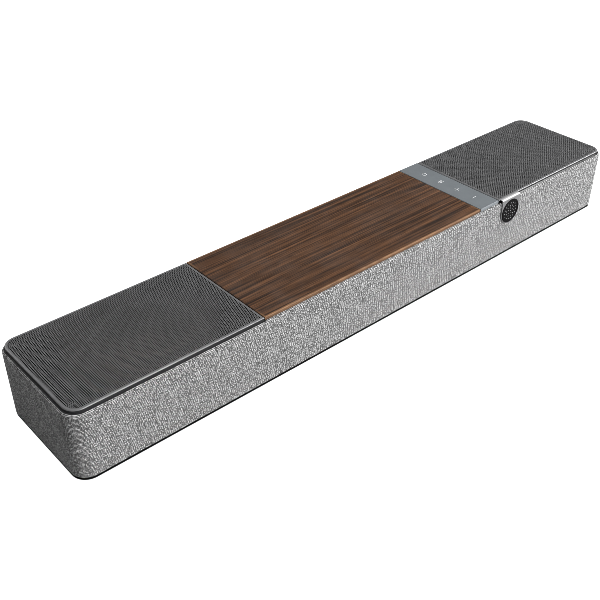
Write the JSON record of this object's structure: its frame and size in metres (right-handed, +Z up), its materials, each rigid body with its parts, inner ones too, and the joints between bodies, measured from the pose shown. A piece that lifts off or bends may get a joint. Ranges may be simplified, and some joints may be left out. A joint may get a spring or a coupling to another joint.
{
  "type": "soundbar",
  "caption": "Long low soundbar: cloth-wrapped cabinet, perforated metal end grilles, walnut top panel, touch strip, round front badge and rear connector bay.",
  "frame": {"origin": "centre of the bounding box at the bottom, on the surface the feet stand on", "axes": "+X runs along the length to the end that carries the badge, the right-hand end for someone facing the front; -Y is the front; +Z is up"},
  "size_m": [0.711, 0.126, 0.074],
  "materials": {
    "rubber_foot": "matte",
    "screw": "zinc plated",
    "black_plastic": "fine texture",
    "cabinet_board": "black painted fibreboard",
    "cloth": "grey heather weave",
    "walnut": "satin walnut veneer",
    "touch_strip": "satin blue grey",
    "grille_metal": "satin dark grey",
    "emblem": "semi gloss",
    "bracket_steel": "plated",
    "basket_steel": "black",
    "magnet": "ferrite grey",
    "surround_rubber": "matte",
    "cone": "pressed pulp",
    "circuit_board": "glass fibre laminate",
    "aluminium_part": "plain",
    "transformer_core": "ferrite core",
    "contact_brass": "nickel plated",
    "port_steel": "plated",
    "loom": "sleeved"
  },
  "bodies": {
    "cabinet": {"ac_inlet": "black_plastic", "ac_pins": "contact_brass", "badge_emblem": "emblem", "base_plate": "black_plastic", "base_screw_front_left": "screw", "base_screw_front_right": "screw", "base_screw_rear_left": "screw", "base_screw_rear_right": "screw", "capacitor": "aluminium_part", "connector_plate": "black_plastic", "control_strip": "touch_strip", "display_module": "black_plastic", "divider_left": "cabinet_board", "divider_right": "cabinet_board", "end_cap_left": "cabinet_board", "end_cap_right": "cabinet_board", "fabric_wrap": "cloth", "foot_front_left": "rubber_foot", "foot_front_right": "rubber_foot", "foot_rear_left": "rubber_foot", "foot_rear_right": "rubber_foot", "front_board": "cabinet_board", "grille_left": "grille_metal", "grille_right": "grille_metal", "hdmi_port": "port_steel", "heat_sink": "aluminium_part", "keyhole_plate_left": "bracket_steel", "keyhole_plate_right": "bracket_steel", "main_board": "circuit_board", "midrange_basket_left": "basket_steel", "midrange_basket_right": "basket_steel", "midrange_magnet_left": "magnet", "midrange_magnet_right": "magnet", "midrange_surround_left": "surround_rubber", "midrange_surround_right": "surround_rubber", "optical_port": "black_plastic", "power_board": "circuit_board", "rear_board_left": "cabinet_board", "rear_board_right": "cabinet_board", "rear_panel": "black_plastic", "speaker_loom_left": "loom", "speaker_loom_right": "loom", "sub_out_jack": "contact_brass", "top_deck": "cabinet_board", "touch_board": "circuit_board", "transformer": "transformer_core", "usb_port": "port_steel", "wood_panel": "walnut", "woofer_basket_left": "basket_steel", "woofer_basket_right": "basket_steel", "woofer_magnet_left": "magnet", "woofer_magnet_right": "magnet", "woofer_surround_left": "surround_rubber", "woofer_surround_right": "surround_rubber"},
    "woofer_cone_left_body": {"woofer_cone_left": "cone"},
    "woofer_cone_right_body": {"woofer_cone_right": "cone"},
    "midrange_cone_left_body": {"midrange_cone_left": "cone"},
    "midrange_cone_right_body": {"midrange_cone_right": "cone"},
    "optical_shutter_body": {"optical_shutter": "black_plastic"}
  },
  "joints": [
    {"name": "woofer_left_stroke", "type": "slide", "parent": "cabinet", "child": "woofer_cone_left_body", "axis": [0, 0, 1], "range_m": [-0.004, 0.004], "stiffness_N_per_m": 600},
    {"name": "midrange_left_stroke", "type": "slide", "parent": "cabinet", "child": "midrange_cone_left_body", "axis": [0, -1, 0], "range_m": [-0.0015, 0.0015], "stiffness_N_per_m": 800},
    {"name": "woofer_right_stroke", "type": "slide", "parent": "cabinet", "child": "woofer_cone_right_body", "axis": [0, 0, 1], "range_m": [-0.004, 0.004], "stiffness_N_per_m": 600},
    {"name": "midrange_right_stroke", "type": "slide", "parent": "cabinet", "child": "midrange_cone_right_body", "axis": [0, -1, 0], "range_m": [-0.0015, 0.0015], "stiffness_N_per_m": 800},
    {"name": "optical_shutter_hinge", "type": "hinge", "parent": "cabinet", "child": "optical_shutter_body", "pos_m": [0.014, 0.04933, 0.0379], "axis": [1, 0, 0], "range_deg": [-80, 0], "stiffness_Nm_per_rad": 0.002, "springref_deg": 5.73}
  ]
}
